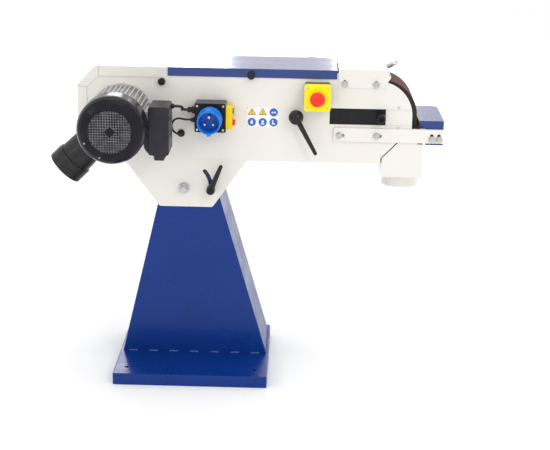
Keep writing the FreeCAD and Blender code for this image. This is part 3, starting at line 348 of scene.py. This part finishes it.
def make_weld_beads():
    """Short stitch welds, each a row of overlapping ripples, where the column meets the base."""
    low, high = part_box("pedestal")
    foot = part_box("base_plate")[1][2]
    ripple, pitch, length, stitches = 3.4 * MM, 3.0 * MM, 24 * MM, 7
    corner = 18 * MM
    flatten = Matrix.Diagonal((0.8, 1, 0.9, 1))
    x0, x1 = low[0] + corner, high[0] - corner
    for side, y in (("front", low[1]), ("back", high[1])):
        def beads(work):
            for k in range(stitches):
                start = x0 + (x1 - x0 - length) * k / (stitches - 1)
                for n in range(int(length / pitch)):
                    size = ripple * random.uniform(0.88, 1.1)
                    place = Matrix.Translation((start + n * pitch, y, foot)) @ flatten
                    bmesh.ops.create_icosphere(work, subdivisions=2, radius=size, matrix=place)
        piece("weld_beads_" + side, beads, "stand", MATERIALS["weld"])


def make_spring():
    """The coil spring behind the slide, in place of its plain sleeve."""
    low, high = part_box("tension_spring")
    y, z = (low[1] + high[1]) / 2, (low[2] + high[2]) / 2
    wire, radius, turns, around, steps = 0.7 * MM, 4.7 * MM, 11, 8, 22
    span = high[0] - low[0] - 2 * wire

    def coil(work):
        rings = []
        total = turns * steps
        for n in range(total + 1):
            turn = 2 * math.pi * n / steps
            x = low[0] + wire + span * n / total
            centre = Vector((x, y + radius * math.cos(turn), z + radius * math.sin(turn)))
            out = Vector((0, math.cos(turn), math.sin(turn)))
            ring = []
            for m in range(around):
                tilt = 2 * math.pi * m / around
                along = Vector((wire * math.sin(tilt), 0, 0))
                ring.append(work.verts.new(centre + out * (wire * math.cos(tilt)) + along))
            rings.append(ring)
        bridge(work, rings)
        work.faces.new(list(reversed(rings[0])))
        work.faces.new(rings[-1])

    spring = piece("tension_coil", coil, "head", MATERIALS["zinc"])
    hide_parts("tension_spring")
    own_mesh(spring)


def pan_head(work, x, z, y, r):
    """A domed screw head with a cross recess, standing out of the plane y towards -Y."""
    steps, arm = 24, 3
    slot_tip, slot_root, slot_floor = 0.46 * r, 0.16 * r, 0.3 * r
    profile = [(r, 0.0), (r, 0.35 * r), (0.86 * r, 0.62 * r), (0.5 * r, 0.78 * r)]
    rings = [circle_ring(work, x, z, radius, y - rise, steps) for radius, rise in profile]
    tips = circle(x, z, slot_tip, steps)
    roots = circle(x, z, slot_root, steps)
    cross = [tips[k] if k % (2 * arm) < arm else roots[k] for k in range(steps)]
    recess = [work.verts.new((px, y - slot_floor, pz)) for px, pz in cross]
    bridge(work, rings + [recess])
    work.faces.new(recess)
    work.faces.new(list(reversed(rings[0])))


def make_small_hardware():
    """Screws that hold the fan cover and the sign's rivets."""
    bolt_circle, rim_depth, screw = 71 * MM, 3.4 * MM, 2.4 * MM
    inset, rivet = 3.2 * MM, 1.5 * MM

    def cover_screws(work):
        for turn in (math.radians(205), math.radians(248)):
            pan_head(work, MOTOR_X + bolt_circle * math.cos(turn), MOTOR_Z + bolt_circle * math.sin(turn),
                     COVER_LOW[1] + rim_depth, screw)
    piece("fan_cover_screws", cover_screws, "head", MATERIALS["zinc"])

    def rivets(work):
        for x in (SIGN_LOW[0] + inset, SIGN_HIGH[0] - inset):
            for z in (SIGN_LOW[2] + inset, SIGN_HIGH[2] - inset):
                pan_head(work, x, z, SIGN_LOW[1], rivet)
    piece("sign_rivets", rivets, "head", MATERIALS["zinc"])


def make_grille():
    """The moulded lattice in the fan cover: pale grey crests on the bars between its square holes, a
    painted highlight along the black bars.
    """
    pitch, reach, bar, lift = 6.6 * MM, 55 * MM, 0.5 * MM, 0.5 * MM
    rows = 8                     # bars each side of the middle
    shortest = 2 * pitch
    crest = bar * 0.6
    section = [(-bar, 0.0), (-crest, -lift), (crest, -lift), (bar, 0.0)]
    front = COVER_LOW[1] + 2 * MM

    def bar_end(work, offset, end, lengthways):
        """One end of a bar: its section, at end along the bar and offset across it."""
        if lengthways:
            spots = [(end, offset + across, rise) for across, rise in section]
        else:
            spots = [(offset + across, end, rise) for across, rise in section]
        return [work.verts.new((MOTOR_X + x, front + rise, MOTOR_Z + z)) for x, z, rise in spots]

    def lattice(work):
        for k in range(-rows, rows):
            offset = (k + 0.5) * pitch
            half = math.sqrt(max(0.0, reach ** 2 - offset ** 2))
            if half < shortest:
                continue
            for lengthways in (True, False):
                first, last = [bar_end(work, offset, end, lengthways) for end in (-half, half)]
                work.faces.new(first)
                work.faces.new(list(reversed(last)))
                bridge(work, [last, first])
    piece("fan_cover_lattice", lattice, "head", MATERIALS["grille_crest_painted_highlight"], smooth=False)

    def boss(work):
        profile = ((11 * MM, 0.0), (11 * MM, 0.9 * MM), (10 * MM, 1.3 * MM), (4 * MM, 1.5 * MM))
        rings = [circle_ring(work, MOTOR_X, MOTOR_Z, radius, front - rise, CIRCLE_STEPS)
                 for radius, rise in profile]
        bridge(work, rings)
        work.faces.new(list(reversed(rings[0])))
        work.faces.new(rings[-1])
    piece("fan_cover_boss", boss, "head", MATERIALS["cover_black"])


def make_table_painted_shade():
    """Painted shade below the table: black rubber pieces fill the shadowed gap, a cheek in the corner by
    the belt, and a slit curtain behind it.
    """
    low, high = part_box("work_table")
    rubber = MATERIALS["wheel_rubber"]

    def cheek(work):
        # painted shade: a black wedge in the shadowed corner by the belt
        top, tail = high[2] - 6 * MM, high[2] - 22 * MM
        outline = [(low[0], top), (low[0] - 1.5 * MM, tail), (low[0] + 16 * MM, tail)]
        add_prism(work, outline, low[1] + 0.2 * MM, low[1] + 2.6 * MM)
    piece("table_corner_painted_shade", cheek, "table", rubber, smooth=False)

    def curtain(work):
        """Two limp black sheets under the table's edge, slit along the foot, as painted shade in the gap
        by the belt.
        """
        columns, rows = 60, 8
        slit_every, slit_rows = 6, 3
        sway, waves = 0.5 * MM, 4.5
        y0, y1 = low[1] + 3.6 * MM, high[1] - 14 * MM
        z0, z1 = high[2] - 58 * MM, high[2] - 3.4 * MM

        def grid_point(x, i, k):
            swing = sway * (1 - k / rows) * math.sin(2 * waves * math.pi * i / columns)
            return (x + swing, y0 + (y1 - y0) * i / columns, z0 + (z1 - z0) * k / rows)

        sheets = [[[work.verts.new(grid_point(x, i, k)) for k in range(rows + 1)]
                   for i in range(columns + 1)]
                  for x in (low[0] + 0.6 * MM, low[0] + 2.2 * MM)]
        for i in range(columns):
            foot = slit_rows if i % slit_every == slit_every - 1 else 0
            for k in range(foot, rows):
                for grid in sheets:
                    work.faces.new((grid[i][k], grid[i + 1][k], grid[i + 1][k + 1], grid[i][k + 1]))
    piece("table_painted_shade_curtain", curtain, "table", rubber)


# ---- the sign's pictograms -----------------------------------------------------------------

def triangle(x, z, r):
    """Point up, with its centre a little below (x, z)."""
    drop = 0.12 * r
    corners = [math.radians(120 * k) for k in range(3)]
    return [(x + r * math.sin(turn), z - drop + r * math.cos(turn)) for turn in corners]


def rectangle(x, z, half_wide, half_high):
    return [(x - half_wide, z - half_high), (x + half_wide, z - half_high),
            (x + half_wide, z + half_high), (x - half_wide, z + half_high)]


def exclamation(x, z):
    return [rectangle(x, z + 0.5 * MM, 0.9 * MM, 3.2 * MM), circle(x, z - 4.4 * MM, 1.0 * MM, 16)]


def goggles(x, z):
    return [circle(x - 3.4 * MM, z, 2.9 * MM, 20), circle(x + 3.4 * MM, z, 2.9 * MM, 20),
            rectangle(x, z + 1.2 * MM, 6.2 * MM, 0.5 * MM)]


def glove(x, z):
    return [rectangle(x, z - 1.6 * MM, 3.2 * MM, 3.4 * MM),
            rectangle(x - 1.9 * MM, z + 3.6 * MM, 0.7 * MM, 2 * MM),
            rectangle(x, z + 4.2 * MM, 0.7 * MM, 2.4 * MM),
            rectangle(x + 1.9 * MM, z + 3.6 * MM, 0.7 * MM, 2 * MM)]


def bust(x, z):
    return [circle(x, z + 1.8 * MM, 3.4 * MM, 20), rectangle(x, z - 4.6 * MM, 4.6 * MM, 1.8 * MM)]


def boot(x, z):
    return [rectangle(x - 2.4 * MM, z + 1.2 * MM, 1.7 * MM, 4.4 * MM),
            rectangle(x, z - 4.2 * MM, 4.4 * MM, 1.5 * MM)]


def make_pictograms():
    """Two warnings and four mandatory signs in two rows of three, with no lettering."""
    columns, rows = 3, 2
    size, layer = 11.2 * MM, 0.12 * MM
    face = SIGN_LOW[1]
    wide, high = SIGN_HIGH[0] - SIGN_LOW[0], SIGN_HIGH[2] - SIGN_LOW[2]
    places = [(SIGN_LOW[0] + wide * (column + 0.5) / columns, SIGN_HIGH[2] - high * (row + 0.5) / rows)
              for row in range(rows) for column in range(columns)]
    warnings, duties = places[:2], places[2:]

    def build(name, ink, level, shapes):
        """Prints flat shapes one layer thick, at the given level above the sign's face."""
        def fill(work):
            for outline in shapes:
                add_prism(work, outline, face - layer * level, face - layer * (level - 1))
        piece(name, fill, "head", ink, smooth=False)

    build("sign_triangle_edges", INK["black"], 1, [triangle(x, z, size * 1.12) for x, z in warnings])
    build("sign_triangles", INK["yellow"], 2, [triangle(x, z, size * 0.90) for x, z in warnings])
    build("sign_discs", INK["blue"], 1, [circle(x, z, size) for x, z in duties])
    black = [shape for place in warnings for shape in exclamation(*place)]
    build("sign_black_marks", INK["black"], 3, black)
    white = [shape for draw, place in zip((goggles, glove, bust, boot), duties) for shape in draw(*place)]
    build("sign_white_marks", MATERIALS["warning_print"], 2, white)


# ---- camera, floor and light ---------------------------------------------------------------

def make_camera():
    """In front of the machine, a little above it and looking down at it."""
    place = Vector((0.2771, -3.4951, 1.4490))
    yaw, down_pitch, roll = -0.0159, 0.2905, -0.0193
    ahead = Vector((math.sin(yaw) * math.cos(down_pitch), math.cos(yaw) * math.cos(down_pitch),
                    -math.sin(down_pitch)))
    level = Vector((math.cos(yaw), -math.sin(yaw), 0))
    down = ahead.cross(level)
    right = level * math.cos(roll) + down * math.sin(roll)
    below = down * math.cos(roll) - level * math.sin(roll)
    data = bpy.data.cameras.new("camera")
    data.sensor_fit = "HORIZONTAL"
    data.sensor_width = 36.0
    data.lens = 85.96
    data.clip_end = 60.0
    camera = bpy.data.objects.new("camera", data)
    turn = Matrix((right, -below, -ahead)).transposed().to_4x4()
    camera.matrix_world = Matrix.Translation(place) @ turn
    bpy.context.scene.collection.objects.link(camera)
    bpy.context.scene.camera = camera


def area_light(name, place, aim, size, power):
    data = bpy.data.lights.new(name, "AREA")
    data.shape = "RECTANGLE"
    data.size, data.size_y = size
    data.energy = power
    lamp = bpy.data.objects.new(name, data)
    lamp.location = place
    lamp.rotation_euler = (Vector(aim) - Vector(place)).to_track_quat("-Z", "Y").to_euler()
    bpy.context.scene.collection.objects.link(lamp)


def make_floor():
    half_side, paper_white = 14.0, 0.98
    mesh = bpy.data.meshes.new("studio_floor")
    work = bmesh.new()
    bmesh.ops.create_grid(work, x_segments=1, y_segments=1, size=half_side)
    work.to_mesh(mesh)
    work.free()
    floor = bpy.data.objects.new("studio_floor", mesh)
    bpy.context.scene.collection.objects.link(floor)
    paper = bpy.data.materials.new("studio_white")
    paper.use_nodes = True
    shader = paper.node_tree.nodes["Principled BSDF"]
    shader.inputs["Base Color"].default_value = (paper_white, paper_white, paper_white, 1)
    shader.inputs["Roughness"].default_value = 0.9
    mesh.materials.append(paper)


def make_studio():
    """A pale floor, an even white surround, and lamps aimed at the machine and at its lid."""
    make_floor()
    world = bpy.data.worlds.new("studio_world")
    world.use_nodes = True
    sky = world.node_tree.nodes["Background"]
    sky.inputs["Color"].default_value = (1.0, 1.0, 1.0, 1)
    sky.inputs["Strength"].default_value = 1.01
    bpy.context.scene.world = world
    bpy.context.scene.view_settings.view_transform = "Standard"
    machine = (0.1, 0.0, 0.6)
    area_light("key", (1.9, -3.0, 2.9), machine, (0.9, 0.9), 18)
    area_light("fill", (-2.6, -2.6, 2.2), machine, (1.0, 1.0), 8)
    area_light("top", (0.2, 0.2, 3.4), machine, (3.0, 2.4), 14)
    lid = (0.15, 0.07, 0.84)
    area_light("sheen_left", (-0.75, 5.4, 1.75), lid, (1.1, 1.3), 26)
    area_light("sheen_right", (0.74, 5.4, 1.75), lid, (0.42, 1.3), 11)


dress_frame()
make_camera()
make_studio()
make_weld_beads()
make_spring()
make_small_hardware()
make_grille()
make_table_painted_shade()
make_pictograms()
